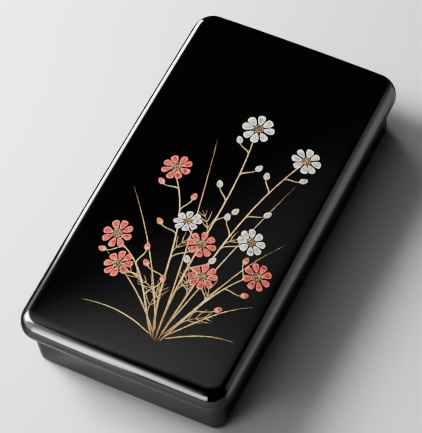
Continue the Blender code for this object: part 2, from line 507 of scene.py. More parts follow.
# In metres: a shoot's reach and loss, a leaf's reaches, a floret's radii and shift, and a blade's
# least length, growth and foot. In degrees: the leans of shoots, and the fan and shift of blades.
# In radians: the shift of petals, and the leans of leaves, threads and sepals. Steps, rounds,
# florets and blades are counts, and the other numbers are shares and powers.
STEM_STEPS, TIP_STEPS, TWIG_STEPS, BLADE_STEPS = 90, 4, 30, 44
PETAL_STEPS, BUD_STEPS, LEAFLET_STEPS, GROUND_STEPS, DOT_STEPS = 36, 28, 16, 24, 8
HANDLE_SHARE = 0.36
PUSH_ROUNDS, PUSH_EASE, HEAD_ROOM, BUD_ROOM = 160, 0.6, 1.04, 0.6
HEAD_MARGIN, BLADE_MARGIN = 1.5, 2.0
SHOOT_SPAN, SHOOT_SHIFT = (0.34, 0.88), 0.03
SHOOT_REACH, SHOOT_LOSS, BUD_REACH = 0.023, 0.009, 0.8
SHOOT_LEANS, HEAD_LEAN = (34, 52), 0.7
TIP_FLOWERS, SIDE_FLOWERS, SQUEEZES = (0.9, 1.0), (0.78, 0.98), (0.76, 0.98)
PETAL_LENGTHS, PETAL_WIDTHS, PETAL_SHIFT = (0.93, 1.0), (0.90, 1.04), 0.035
BLUNT_POWER, TIP_WIDENING, PETAL_FILL, TOOTH = 0.72, 0.26, 1.18, 0.055
FLORETS, FLORET_RADII, FLORET_SHIFT, HEART_FILL = 36, (0.00022, 0.00040), 0.00010, 0.98
GROUND_ROOM = 1.1
BUD_WIDTH, BUD_TAPER, BUD_POINT = 0.72, 0.22, 0.12
SEPAL_LENGTH, SEPAL_WIDTH, SEPAL_BACK = 0.52, 0.24, 0.52
SEPAL_LEANS, SEPAL_AGE = (-0.55, 0.0, 0.55), 0.35
STEM_POINT, STEM_RISE, STEM_LOSS, TWIG_LOSS = 0.12, 0.10, 0.72, 0.45
STEM_AGE, STEM_AGE_FALL, TWIG_AGE, TWIG_AGE_FALL = 1.2, 2.4, 0.25, 0.2
LEAF_SHARES, LEAF_STEPS, LEAF_AGE = (0.22, 0.5), 9, 0.3
LEAF_LEANS, LEAF_REACHES, LEAF_LOSS, RIB_LEANS = (0.55, 0.85), (0.018, 0.023), 0.3, (0.5, 1.3)
THREAD_LEANS, THREAD_SHARE, THREAD_POWER, THREAD_LOSS = (0.75, 0.35), 0.5, 0.7, 0.6
BLADES, BLADE_FAN, BLADE_SHIFT, BLADE_BOW = 8, (152, 34), 5, 0.55
BLADE_SIZES, BLADE_LEAST, BLADE_GROWTH, BLADE_POWER = (0.8, 1.0), 0.05, 0.115, 6
BLADE_FOOT, BLADE_END = 0.005, 0.06


def turned(vectors, angles):
    """Flat vectors turned by angles, counter-clockwise from above."""
    c, s = np.cos(angles), np.sin(angles)
    x, y = vectors[..., 0], vectors[..., 1]
    return np.stack([x * c - y * s, x * s + y * c], axis=-1)


def towards(angles):
    """Flat unit vectors at angles from the x axis."""
    return np.stack([np.cos(angles), np.sin(angles)], axis=-1)


def gathered(items, field):
    """One field of several stems or heads, as an array."""
    return np.array([getattr(item, field) for item in items])


def heading_of(step):
    """Angle of a flat step from the x axis."""
    return math.atan2(step[1], step[0])


def round_angles(steps):
    """Even angles once round."""
    return np.linspace(0.0, 2 * np.pi, steps, endpoint=False)


def curves(starts, start_headings, ends, end_headings, steps):
    """Cubic curves that leave their starts and reach their ends along the given headings.

    The two middle control points lie along the headings, at the handle share of the distance
    from the ends.
    """
    reach = np.linalg.norm(ends - starts, axis=-1, keepdims=True) * HANDLE_SHARE
    second = starts + towards(start_headings) * reach
    third = ends - towards(end_headings) * reach
    t = np.linspace(0.0, 1.0, steps)[:, None]
    controls = (starts, second, third, ends)
    weights = ((1 - t) ** 3, 3 * t * (1 - t) ** 2, 3 * t**2 * (1 - t), t**3)
    return sum(weight * control[..., None, :] for weight, control in zip(weights, controls))


def main_paths():
    """Paths of the main stems."""
    roots, tips = gathered(MAIN_STEMS, "root"), gathered(MAIN_STEMS, "tip")
    leave, arrive = (np.radians(gathered(MAIN_STEMS, f"{end}_heading")) for end in ("root", "tip"))
    return curves(roots, leave, tips, arrive, STEM_STEPS)


def stem_place(path, along):
    """The point at a share of a stem's length, and the stem's heading there."""
    index = int(along * (len(path) - 1))
    return path[index], heading_of(path[index + 1] - path[index])


def alternate(number, order):
    """The side of stem number's shoot or leaf of an order: 1 for left and -1 for right."""
    return 1 if (order + number) % 2 else -1


def push_apart(places, radii):
    """Moves discs that overlap apart, a little in each of many rounds, and keeps them on the lid.

    Two discs that overlap each move by the ease times half of the overlap, along the line between
    their centres.
    """
    sizes = settings().sizes
    half_sides = np.array([sizes.lid_width, sizes.lid_length]) / 2
    room = half_sides - sizes.shoulder_run * HEAD_MARGIN - radii[:, None]
    for _ in range(PUSH_ROUNDS):
        gaps = places[:, None] - places[None]
        distances = np.linalg.norm(gaps, axis=-1)
        np.fill_diagonal(distances, 1.0)
        overlap = np.maximum(0.0, radii[:, None] + radii[None] - distances)
        push = (gaps / distances[..., None] * overlap[..., None] * 0.5).sum(axis=1)
        places = np.clip(places + push * PUSH_EASE, -room, room)
    return places


def spray_heads():
    """All flowers and buds: one flower on each main stem's tip, and a head on each side shoot.

    Shoots leave their stem at even shares of its length, on alternate sides, and shorten towards
    its tip. The second one carries a flower, the others buds. The heads are then pushed apart.
    """
    spray = settings().spray
    rng = np.random.default_rng(spray.seed)
    heads = []
    for number, (stem, path) in enumerate(zip(MAIN_STEMS, main_paths())):
        heading = math.radians(stem.tip_heading)
        radius = spray.flower_radius * rng.uniform(*TIP_FLOWERS)
        heads.append(Head(path[-1], heading, radius, path[-TIP_STEPS], heading, stem.coral, True))
        shifts = rng.uniform(-SHOOT_SHIFT, SHOOT_SHIFT, stem.shoots)
        for order, along in enumerate(np.linspace(*SHOOT_SPAN, stem.shoots) + shifts):
            foot, heading = stem_place(path, along)
            flower = order == 1
            reach = (SHOOT_REACH - SHOOT_LOSS * along) * (1.0 if flower else BUD_REACH)
            lean = alternate(number, order) * math.radians(rng.uniform(*SHOOT_LEANS))
            tip = foot + towards(heading + lean) * reach
            radius = spray.bud_length * BUD_ROOM
            if flower:
                radius = spray.flower_radius * rng.uniform(*SIDE_FLOWERS)
            aim = heading + lean * HEAD_LEAN
            heads.append(Head(tip, aim, radius, foot, heading, stem.coral, flower))
    places = push_apart(gathered(heads, "place"), gathered(heads, "radius") * HEAD_ROOM)
    return [head._replace(place=tip) for head, tip in zip(heads, places)]


def petal_edge(spray):
    """Edge of one petal round its centre, and the centre's distance from the flower's heart.

    The petal runs outwards along x. Its half width grows with the sine of the angle, wider
    towards the tip; its tip is flattened by a power of the cosine and has three low teeth.
    """
    t = round_angles(PETAL_STEPS)
    half = (spray.flower_radius - spray.heart_radius) / 2
    blunt = np.where(np.cos(t) > 0, BLUNT_POWER, 1.0)
    along = np.sign(np.cos(t)) * np.abs(np.cos(t)) ** blunt
    across = np.sin(t) * (1 - TIP_WIDENING + TIP_WIDENING * along)
    teeth = TOOTH * np.cos(3 * np.pi * across) * np.maximum(along, 0.0) ** 3
    aside = spray.petal_width / 2 * across * PETAL_FILL
    return np.stack([half * (along + teeth), aside], axis=-1), spray.heart_radius + half


def petal_values(edge, tones):
    """What petals of one edge carry: how far along and across a point lies, and each one's tone."""
    shares = edge / edge.max(axis=0) * PETAL_PROFILE.shares[:, None, None]
    along, across = np.moveaxis(shares, -1, 0)
    return {"along": along[None], "across": across[None], "tone": tones[:, None, None]}


def flower_scales(heads):
    """Sizes of flowers as shares of a full flower's."""
    return gathered(heads, "radius") / settings().spray.flower_radius


def discs(centres, radii, steps):
    """Round edges: points at even angles, each a radius away from its centre."""
    return centres[:, None] + towards(round_angles(steps))[None] * radii[:, None, None]


def flower_surface(heads, rng):
    """Petals of many flowers: one petal's edge turned round each heart, stretched and placed.

    Each flower is scaled to its radius, turned at random, and squeezed along its heading as if it
    looked a little aside. Each petal is also shifted and scaled a little at random.
    """
    spray = settings().spray
    edge, middle = petal_edge(spray)
    count_of = (len(heads), spray.petals)
    around = np.arange(spray.petals) * 2 * np.pi / spray.petals
    turns = rng.uniform(0, 2 * np.pi, (len(heads), 1)) + around + rng.normal(0, PETAL_SHIFT, count_of)
    scale = flower_scales(heads)[:, None, None, None]
    long = rng.uniform(*PETAL_LENGTHS, count_of)
    wide = rng.uniform(*PETAL_WIDTHS, count_of)
    own = edge * np.stack([long, wide], axis=-1)[:, :, None]
    squeeze = rng.uniform(*SQUEEZES, len(heads))[:, None, None]
    headings = gathered(heads, "heading")[:, None, None]
    places = gathered(heads, "place")[:, None, None]

    def put(points):
        """Points of a petal turned to its place in its flower, and the flower put on the lid."""
        points = turned(turned(points, turns[..., None]) * scale, -headings)
        points = np.stack([points[..., 0] * squeeze, points[..., 1]], axis=-1)
        return turned(points, headings) + places

    centre = np.broadcast_to((middle, 0.0), count_of + (1, 2))
    edges = put(own + centre).reshape(-1, len(edge), 2)
    values = petal_values(edge, rng.uniform(0.0, 1.0, len(edges)))
    return film_patches(put(centre).reshape(-1, 2), edges, PETAL_FILM, PETAL_PROFILE, values)


def heart_surface(heads, rng):
    """Florets in the flowers' hearts: small domes on a spiral of even turns.

    Dome number n stands at the golden angle times n, at a distance that grows with the root of n.
    """
    spray = settings().spray
    n = np.arange(FLORETS) + 0.5
    golden = np.pi * (3 - 5**0.5)
    spread = spray.heart_radius * HEART_FILL * np.sqrt(n / FLORETS)
    places = towards(golden * n) * spread[:, None]
    centres = gathered(heads, "place")[:, None] + places * flower_scales(heads)[:, None, None]
    centres = (centres + rng.normal(0, FLORET_SHIFT, centres.shape)).reshape(-1, 2)
    edges = discs(centres, rng.uniform(*FLORET_RADII, len(centres)), DOT_STEPS)
    values = {"age": rng.uniform(0.0, 1.0, len(centres))[:, None, None]}
    return film_patches(centres, edges, DOT_FILM, DOT_PROFILE, values)


def ground_surface(heads):
    """Dark grounds under the flowers' hearts: flat discs, just over the lines that cross there."""
    centres = gathered(heads, "place")
    radii = settings().spray.heart_radius * GROUND_ROOM * flower_scales(heads)
    edges = discs(centres, radii, GROUND_STEPS)
    return film_patches(centres, edges, GROUND_FILM, GROUND_PROFILE, {})


def bud_edge(length, width, steps):
    """Edge of a bud that points along x: an oval whose tip is drawn out to a point."""
    t = round_angles(steps)
    along = np.cos(t)
    across = np.sin(t) * (1 - BUD_TAPER * along - BUD_POINT * along**2)
    return np.stack([along * length / 2, across * width / 2], axis=-1)


def placed(shape, heads, forward):
    """A flat shape turned along each head's heading and moved forward along it."""
    headings = gathered(heads, "heading")
    places = gathered(heads, "place") + towards(headings) * forward
    return turned(shape[None], headings[:, None]) + places[:, None]


def bud_surface(heads, rng):
    """Buds: ovals with a point, along their headings."""
    size = settings().spray.bud_length
    edge = bud_edge(size, size * BUD_WIDTH, BUD_STEPS)
    edges = placed(edge, heads, 0.0)
    values = petal_values(edge, rng.uniform(0.0, 1.0, len(heads)))
    return film_patches(gathered(heads, "place"), edges, BUD_FILM, PETAL_PROFILE, values)


def sepal_surface(heads):
    """Sepals: three narrow leaflets that hold each bud's base, one straight and two aside."""
    size = settings().spray.bud_length
    length = size * SEPAL_LENGTH
    leaflet = bud_edge(length, size * SEPAL_WIDTH, LEAFLET_STEPS) + (length / 2, 0.0)
    surfaces = []
    for lean in SEPAL_LEANS:
        edges = placed(turned(leaflet, lean), heads, -size * SEPAL_BACK)
        values = {"age": SEPAL_AGE}
        surfaces.append(film_patches(edges.mean(axis=1), edges, SEPAL_FILM, PETAL_PROFILE, values))
    return join_surfaces(*surfaces)


def stem_surface(heads):
    """Main stems and side shoots as fine lines that thin towards their ends.

    A stem's width rises quickly from its pointed root and then falls with the root of its share
    of the length, and a shoot's falls evenly.
    """
    spray = settings().spray
    mains = main_paths()[:, :-TIP_STEPS]
    t = np.linspace(0.0, 1.0, mains.shape[1])
    rise = np.minimum(STEM_POINT + t / STEM_RISE, 1.0)
    widths = spray.stem_width * rise * (1 - STEM_LOSS * t**0.5)
    main_lines = film_lines(mains, widths, np.clip(STEM_AGE - STEM_AGE_FALL * t, 0.0, 1.0))
    gaps = np.where(gathered(heads, "flower"), spray.heart_radius, spray.bud_length / 2)
    headings = gathered(heads, "heading")
    ends = gathered(heads, "place") - towards(headings) * gaps[:, None]
    feet, leave = gathered(heads, "foot"), gathered(heads, "foot_heading")
    twigs = curves(feet, leave, ends, headings, TWIG_STEPS)
    t = np.linspace(0.0, 1.0, TWIG_STEPS)
    widths, ages = spray.twig_width * (1 - TWIG_LOSS * t), TWIG_AGE - TWIG_AGE_FALL * t
    twig_lines = film_lines(twigs, widths, ages)
    return join_surfaces(main_lines, twig_lines)


def leaf_surface(rng):
    """Feathery leaves: a curved rib from the stem, with pairs of threads that lean forward.

    Threads are longest a third of the way along the rib and shorten to both ends.
    """
    ribs, threads = [], []
    last = LEAF_STEPS - 1
    for number, path in enumerate(main_paths()):
        for order, along in enumerate(LEAF_SHARES):
            foot, heading = stem_place(path, along)
            lean = alternate(number, order) * rng.uniform(*LEAF_LEANS)
            reach = rng.uniform(*LEAF_REACHES) * (1 - LEAF_LOSS * along)
            end = foot + towards(heading + lean) * reach
            begin, finish = (heading + lean * share for share in RIB_LEANS)
            rib = curves(foot, begin, end, finish, LEAF_STEPS)
            ribs.append(rib)
            for pair in range(2, last, 2):
                rib_heading = heading_of(rib[pair] - rib[pair - 1])
                size = reach * THREAD_SHARE * math.sin(math.pi * (pair / last) ** THREAD_POWER)
                for hand in (-1, 1):
                    begin, finish = (rib_heading + hand * aside for aside in THREAD_LEANS)
                    far = rib[pair] + towards((begin + finish) / 2) * size
                    threads.append(curves(rib[pair], begin, far, finish, LEAF_STEPS))
    t = np.linspace(0.0, 1.0, LEAF_STEPS)
    widths = settings().spray.thread_width * (1 - THREAD_LOSS * t)
    return film_lines(np.array(ribs + threads), widths, LEAF_AGE)


def blade_surface(rng):
    """Blades of grass: fine arcs that fan out from the stems' root and bend outwards.

    A blade's width is the sine of pi times the root of its share of the length, so it is widest
    a quarter of the way along and nearly ends in a point.
    """
    sizes, spray = settings().sizes, settings().spray
    shifts = rng.uniform(-BLADE_SHIFT, BLADE_SHIFT, BLADES)
    fan = np.radians(np.linspace(*BLADE_FAN, BLADES) + shifts)
    bow = (fan - np.pi / 2) * BLADE_BOW
    lengths = BLADE_LEAST + BLADE_GROWTH * np.sin(fan) ** BLADE_POWER
    reach = rng.uniform(*BLADE_SIZES, BLADES) * lengths
    roots = gathered(MAIN_STEMS, "root").mean(axis=0) + towards(fan) * BLADE_FOOT
    ends = roots + towards(fan + bow * 0.5) * reach[:, None]
    room = sizes.lid_width / 2 - sizes.shoulder_run * BLADE_MARGIN
    ends[:, 0] = np.clip(ends[:, 0], -room, room)
    t = np.linspace(0.0, 1.0, BLADE_STEPS)
    widths = spray.blade_width * ((1 - BLADE_END) * np.sin(np.pi * t**0.5) + BLADE_END)
    return film_lines(curves(roots, fan, ends, fan + bow, BLADE_STEPS), widths, 0.5 - 0.5 * t)


# Materials

# A span or a fade holds the values at which a smooth step is 0 and 1.
MOTTLE_SHARES, MOTTLE_RATIO, MOTTLE_SPAN = (0.6, 0.4), 3.7, (0.36, 0.64)
CLOUD_SPAN = (0.35, 0.75)
VEIN_TURN, VEIN_SPAN, VEIN_FADE, VEIN_DEPTH = 13.0, (0.2, 0.95), (0.85, -0.5), 0.6
TONE_DEPTH, PALE_SHARE, PALE_SPAN, DEEP_SPAN = 0.5, 0.55, (0.35, 0.9), (0.45, 0.05)
RIM_SPAN, RIM_RAGGED = (0.80, 0.98), 0.12
WORN_SPAN, WORN_DEPTH, WORN_SHADE = (0.75, 0.15), 0.6, 0.35


def connect(tree, node, sockets):
    """Gives each named or numbered socket of a node its link or its constant."""
    for key, value in sockets.items():
        if isinstance(value, bpy.types.NodeSocket):
            tree.links.new(value, node.inputs[key])
        else:
            node.inputs[key].default_value = value


def place(tree, kind, sockets=None, **options):
    """A new node with its options and its sockets set."""
    new = tree.nodes.new(kind)
    for name, value in options.items():
        setattr(new, name, value)
    connect(tree, new, sockets or {})
    return new


def maths(tree, operation, *values):
    """The result of a maths node."""
    return place(tree, "ShaderNodeMath", dict(enumerate(values)), operation=operation).outputs[0]


def scaled(tree, value, factor, offset=0.0):
    """A value times a factor, plus an offset."""
    return maths(tree, "MULTIPLY_ADD", value, factor, offset)


def product(tree, first, *others):
    """Product of several values."""
    for other in others:
        first = maths(tree, "MULTIPLY", first, other)
    return first


def rising(tree, value, low, high):
    """A smooth step of a value from 0 at low to 1 at high."""
    sockets = {"Value": value, "From Min": low, "From Max": high}
    return place(tree, "ShaderNodeMapRange", sockets, interpolation_type="SMOOTHSTEP").outputs[0]


def mixed(tree, factor, *colours):
    """Two colours mixed by a factor; each is a link or three numbers."""
    sockets = {0: factor}
    for key, each in zip((6, 7), colours):
        sockets[key] = each if isinstance(each, bpy.types.NodeSocket) else (*each, 1.0)
    return place(tree, "ShaderNodeMix", sockets, data_type="RGBA").outputs[2]


def measured(tree, operation, vector, other=(0.0, 0.0, 0.0)):
    """A number that a vector maths node works out."""
    sockets = {0: vector, 1: other}
    return place(tree, "ShaderNodeVectorMath", sockets, operation=operation).outputs["Value"]


def bumped(tree, height, strength, distance):
    """A normal bumped by a height."""
    sockets = {"Height": height, "Strength": strength, "Distance": distance}
    return place(tree, "ShaderNodeBump", sockets).outputs[0]


def axes_of(tree, vector):
    """The three numbers of a vector."""
    return place(tree, "ShaderNodeSeparateXYZ", {0: vector}).outputs


def path_kind(tree, name):
    """What the light path node says under a name."""
    return place(tree, "ShaderNodeLightPath").outputs[name]


def carried(tree, name):
    """The number that a piece's points carry under a name."""
    return place(tree, "ShaderNodeAttribute", attribute_name=name).outputs["Fac"]


def object_place(tree):
    """Object coordinates."""
    return place(tree, "ShaderNodeTexCoord").outputs["Object"]


def noise(tree, vector, scale, detail=2.0, roughness=0.5):
    """Noise from 0 to 1 on a vector."""
    sockets = {"Vector": vector, "Scale": scale, "Detail": detail, "Roughness": roughness}
    return place(tree, "ShaderNodeTexNoise", sockets).outputs["Fac"]


def grouped(tree, name, values, outputs, fill):
    """Outputs of a shader node group of numbers, built once and placed with its own values.

    fill takes the group's tree and its input sockets by name, and gives the output sockets.
    """
    group = bpy.data.node_groups.get(name)
    if not group:
        group = bpy.data.node_groups.new(name, "ShaderNodeTree")
        for way, names in (("INPUT", values), ("OUTPUT", outputs)):
            for each in names:
                group.interface.new_socket(name=each, in_out=way, socket_type="NodeSocketFloat")
        way_in = group.nodes.new("NodeGroupInput")
        way_out = group.nodes.new("NodeGroupOutput")
        connect(group, way_out, dict(zip(outputs, fill(group, way_in.outputs))))
    new = place(tree, "ShaderNodeGroup", values, node_tree=group)
    return [new.outputs[each] for each in outputs]


def fill_mottle(tree, sockets):
    """Mottle: two sizes of noise on Object coordinates, mixed and sharpened, and the fine one."""
    where = object_place(tree)
    large = noise(tree, where, sockets["Scale"], detail=3.0, roughness=0.6)
    fine_scale = scaled(tree, sockets["Scale"], MOTTLE_RATIO)
    fine = noise(tree, where, fine_scale, roughness=0.6)
    both = scaled(tree, large, MOTTLE_SHARES[0], scaled(tree, fine, MOTTLE_SHARES[1]))
    return rising(tree, both, *MOTTLE_SPAN), fine


def mottle(tree, scale):
    """The mottle group placed in a material, with its two outputs."""
    return grouped(tree, "Brushed Mottle", {"Scale": scale}, ("Mottle", "Fine"), fill_mottle)


def fill_polish(tree, sockets):
    """Polish: broad clouds of haze, and a faint ripple of the lacquer's surface."""
    where = object_place(tree)
    clouds = noise(tree, where, sockets["Cloud Scale"], detail=3.0, roughness=0.55)
    ripple = noise(tree, where, sockets["Ripple Scale"], detail=1.0, roughness=0.4)
    return rising(tree, clouds, *CLOUD_SPAN), ripple


def new_material(name, fill, *values):
    """A new material, whose Principled shader gets the sockets that fill gives for its tree."""
    material = bpy.data.materials.new(name)
    material.use_nodes = True
    tree = material.node_tree
    connect(tree, tree.nodes["Principled BSDF"], fill(tree, *values))
    return material


def black_lacquer(tree):
    """Polished black lacquer: brown where it is thin, with clouds of haze and a faint ripple."""
    finish = settings().lacquer
    scales = {"Cloud Scale": 28.0, "Ripple Scale": 140.0}
    haze, ripple = grouped(tree, "Lacquer Polish", scales, ("Haze", "Ripple"), fill_polish)
    return {
        "Base Color": mixed(tree, carried(tree, "thin"), finish.black, finish.thin_brown),
        "Roughness": scaled(tree, haze, finish.haze, finish.gloss),
        "IOR": finish.index,
        "Normal": bumped(tree, ripple, strength=0.05, distance=0.0002),
    }


def petal_paint(tree, deep, inside, rim):
    """Painted petals: each its own depth, mottled, veined along their length, with a light rim."""
    blotches, fine = mottle(tree, scale=480.0)
    lines = maths(tree, "COSINE", scaled(tree, carried(tree, "across"), VEIN_TURN))
    fade = rising(tree, carried(tree, "along"), *VEIN_FADE)
    veins = product(tree, rising(tree, lines, *VEIN_SPAN), fade, VEIN_DEPTH)
    pale = Vector(inside).lerp(Vector(rim), PALE_SHARE)
    base = mixed(tree, scaled(tree, carried(tree, "tone"), TONE_DEPTH), inside, deep)
    base = mixed(tree, rising(tree, blotches, *PALE_SPAN), base, pale)
    base = mixed(tree, rising(tree, blotches, *DEEP_SPAN), base, deep)
    base = mixed(tree, veins, base, deep)
    edge = scaled(tree, fine, RIM_RAGGED, carried(tree, "rim"))
    height = maths(tree, "SUBTRACT", fine, veins)
    return {
        "Base Color": mixed(tree, rising(tree, edge, *RIM_SPAN), base, rim),
        "Roughness": scaled(tree, fine, factor=0.25, offset=0.32),
        "Specular IOR Level": 0.03,
        "Normal": bumped(tree, height, strength=0.35, distance=0.0001),
    }


def gold_powder(tree):
    """Gold powder, bound matt: pale where fresh, amber where old, worn thin in grains."""
    spray = settings().spray
    blotches, fine = mottle(tree, scale=700.0)
    base = mixed(tree, carried(tree, "age"), spray.pale_gold, spray.amber_gold)
    worn = scaled(tree, rising(tree, blotches, *WORN_SPAN), WORN_DEPTH)
    return {
        "Base Color": mixed(tree, worn, base, Vector(spray.amber_gold) * WORN_SHADE),
        "Roughness": scaled(tree, fine, factor=0.3, offset=0.38),
        "Specular IOR Level": 0.05,
        "Normal": bumped(tree, fine, strength=0.5, distance=0.0001),
    }


def matt_brown(tree):
    """Dark brown ground for gold powder: mottled, and nearly without gloss."""
    spray = settings().spray
    blotches, fine = mottle(tree, scale=900.0)
    return {
        "Base Color": mixed(tree, blotches, spray.ground_deep, spray.ground),
        "Roughness": scaled(tree, fine, factor=0.2, offset=0.5),
        "Specular IOR Level": 0.03,
    }


# Studio

def facing(azimuth, elevation):
    """Unit vector from the box towards an azimuth from the front to the left, and an elevation."""
    flat = math.cos(elevation)
    return Vector((-math.sin(azimuth) * flat, -math.cos(azimuth) * flat, math.sin(elevation)))


# Angles are in degrees and distances in metres.
PLAIN, COOL, WARM = (1.0, 1.0, 1.0), (0.97, 0.99, 1.06), (1.04, 0.995, 0.985)
SoftLight = namedtuple(
    "SoftLight",
    "name azimuth elevation width height radiance distance roll fades tint",
    defaults=(0.568, 0.0, (0.5, 0.5, 0.5), PLAIN),
)
MATT_LIGHTS = (
    SoftLight("key", 92.7, 40.8, 37.5, 34.2, 71.8),
    SoftLight("key_low", 93.7, 36.5, 25.3, 31.9, 52.7),
    SoftLight("key_front", 66.2, 51.4, 34.0, 24.4, 28.6),
    SoftLight("top", 10.3, 73.3, 66.6, 22.0, 2.43),
    SoftLight("small_top", -5.1, 73.2, 31.1, 13.2, 0.76),
    SoftLight("front", 23.1, 34.6, 41.8, 29.7, 5.57),
    SoftLight("back", 132.5, 22.8, 39.4, 24.6, 11.44),
    SoftLight("right_top", -34.9, 68.1, 19.3, 12.1, 1.21),
)
GLOSS_LIGHTS = (
    SoftLight("window", 83.1, 40.6, 30.0, 58.7, 262.0, 1.56, 21.2, (0.43, 0.52, 0.38)),
    SoftLight("window_haze", 98.0, 34.1, 68.6, 65.2, 3.58, 1.17, 34.7, (0.44, 0.42, 0.72)),
    SoftLight("strip", 123.4, 20.1, 23.7, 37.6, 226.0, 1.21, 7.1, (0.09, 0.88, 0.45)),
    SoftLight("card", 14.6, 29.4, 25.0, 49.7, 40.7, 0.30, -12.9, (0.5, 0.97, 0.07), COOL),
    SoftLight("low_card", 4.3, 23.1, 32.4, 53.7, 20.2, 1.51, 10.6, (0.2, 0.61, 0.6), COOL),
    SoftLight("wide_card", 52.0, 37.0, 49.9, 78.2, 5.11, 0.33, 1.5, (0.06, 0.65, 0.18)),
    SoftLight("board", -127.3, 3.7, 71.4, 73.6, 1.71, 0.66, 6.0, (0.45, 0.40, 0.53), WARM),
    SoftLight("board_top", -139.9, 36.8, 67.3, 43.6, 0.87, 0.93, 32.4, (0.39, 0.16, 0.9), WARM),
    SoftLight("glow", 122.4, 63.3, 41.2, 8.75, 0.278, 2.5, -2.3, (0.22, 0.5, 0.42)),
    SoftLight("glow_end", 133.9, 62.35, 30.0, 5.27, 0.746, 2.5, -23.4, (0.5, 0.34, 0.67)),
)
AIM = (-0.00302, 0.00171, 0.02)
SENSOR_WIDTH, VIEW_END = 36.0, 50.0
# Where the floor's look in gloss changes: the painted shade and the painted glow that it shows in the
# lacquer.
# Turns are sines of an angle, gains and leasts are shares, and the other pairs of numbers are in
# metres.
LEFT_FRONT, RIGHT_BACK, LEFT_FOOT = (-0.05, -0.095), (0.055, 0.115), (-0.058, -0.120, 0.0)
LEFT_TURNS, LEFT_GAIN, RIGHT_TURNS, BACK_SPAN = (-1.0, -0.3), 0.86, (0.35, 0.6), (0.118, 0.112)
LEAST_SPAN, LEAST_GAIN, LEAST = (-0.02, -0.09), 0.12, 0.02
FOOT_SPAN, FOOT_LEAST, FAR_SPAN, FAR_LEAST = (0.0, 0.045), 0.1, (-0.150, -0.245), 0.38
BESIDE_SPAN, BESIDE_GAIN = (-0.136, -0.118), 0.22
RIGHT_SHINE_X, RIGHT_SHINE_Y = (0.075, 0.20), (-0.13, -0.05)
SHINE_LEFT, SHINE_RIGHT, SHINE_GROWTH = (-0.085, -0.065), (0.10, 0.0), (-0.030, -0.048)
Band = namedtuple("Band", "start stop gain least")
SHINE_BANDS = (
    Band((-0.142, -0.123), (-0.10, -0.112), 0.12, 0.16),
    Band((-0.152, -0.143), (-0.127, -0.133), 0.65, 0.17),
)


def add_light(soft, strength, in_gloss):
    """A rectangular soft light that faces the box and fades smoothly towards its edges.

    Its width and height are the angles that it spans as seen from the box, and its power is its
    radiance times pi times its area. fades holds the shares of its width and height over which it
    fades at its sides, its top and its bottom. It shows in gloss alone or on matt surfaces alone,
    and one in gloss throws no light from the lacquer back on the floor.
    """
    azimuth, elevation, width, height, roll = map(
        math.radians, (soft.azimuth, soft.elevation, soft.width, soft.height, soft.roll)
    )
    light = bpy.data.lights.new(soft.name, "AREA")
    light.shape = "RECTANGLE"
    light.size = 2 * soft.distance * math.tan(width / 2)
    light.size_y = 2 * soft.distance * math.tan(height / 2)
    light.energy = strength * soft.radiance * math.pi * light.size * light.size_y
    light.color = soft.tint
    light.use_nodes = True
    tree = light.node_tree
    across, up, _ = axes_of(tree, place(tree, "ShaderNodeNewGeometry").outputs["Parametric"])
    sides, top, bottom = soft.fades
    nearest = maths(tree, "MINIMUM", across, maths(tree, "SUBTRACT", 1.0, across))
    fades = [(nearest, 0.0, sides), (up, 0.0, bottom), (up, 1.0, 1.0 - top)]
    share_lit = product(tree, *(rising(tree, *fade) for fade in fades))
    if in_gloss:
        seen = maths(tree, "SUBTRACT", 1.0, path_kind(tree, "Diffuse Depth"))
        share_lit = product(tree, share_lit, maths(tree, "MAXIMUM", seen, 0.0))
    connect(tree, tree.nodes["Emission"], {"Strength": share_lit})
    lamp = new_object(soft.name, light)
    direction = facing(azimuth, elevation)
    turn = direction.to_track_quat("Z", "Y").to_matrix() @ Matrix.Rotation(roll, 3, "Z")
    lamp.matrix_world = Matrix.Translation(direction * soft.distance) @ turn.to_4x4()
    lamp.visible_camera = False
    lamp.visible_glossy = in_gloss
    lamp.visible_diffuse = not in_gloss


def add_lights():
    """The lights on matt surfaces, and those that show in the lacquer."""
    studio = settings().studio
    for soft in MATT_LIGHTS:
        add_light(soft, studio.key, False)
    for soft in GLOSS_LIGHTS:
        add_light(soft, studio.shine, True)


def to_the_right(tree, x, y, corner, onwards):
    """Sine of the angle by which a place lies to the right of a line straight away from a corner.

    The line leaves the corner forwards where onwards is -1 and backwards where it is 1.
    """
    across = maths(tree, "SUBTRACT", x, corner[0])
    ahead = scaled(tree, maths(tree, "SUBTRACT", y, corner[1]), float(onwards))
    ahead = maths(tree, "MAXIMUM", ahead, 0.0)
    flat = place(tree, "ShaderNodeCombineXYZ", {0: across, 1: ahead}).outputs[0]
    return maths(tree, "DIVIDE", across, measured(tree, "LENGTH", flat))


def painted_gloss_shade(tree, where):
    """How much of the paper's light shows in gloss, as a share: painted shade in the floor's
    reflection.

    It darkens round the front left corner from the front to the left, close to that corner as a
    painted shadow, near the front of the box and behind the back left of the box, as if black
    cards stood there.
    """
    x, y, _ = axes_of(tree, where)
    least = scaled(tree, rising(tree, y, *LEAST_SPAN), LEAST_GAIN, LEAST)
    open_left = rising(tree, to_the_right(tree, x, y, LEFT_FRONT, -1), *LEFT_TURNS)
    left = scaled(tree, open_left, LEFT_GAIN, least)
    open_right = rising(tree, to_the_right(tree, x, y, RIGHT_BACK, 1), *RIGHT_TURNS)
    back = maths(tree, "MAXIMUM", open_right, rising(tree, y, *BACK_SPAN))
    # A painted shadow in the floor's reflection, round the box's front left foot.
    from_foot = measured(tree, "DISTANCE", where, LEFT_FOOT)
    foot = scaled(tree, rising(tree, from_foot, *FOOT_SPAN), 1 - FOOT_LEAST, FOOT_LEAST)
    far = scaled(tree, rising(tree, y, *FAR_SPAN), 1 - FAR_LEAST, FAR_LEAST)
    level = scaled(tree, rising(tree, y, *BESIDE_SPAN), BESIDE_GAIN, far)
    return product(tree, left, back, foot, level)


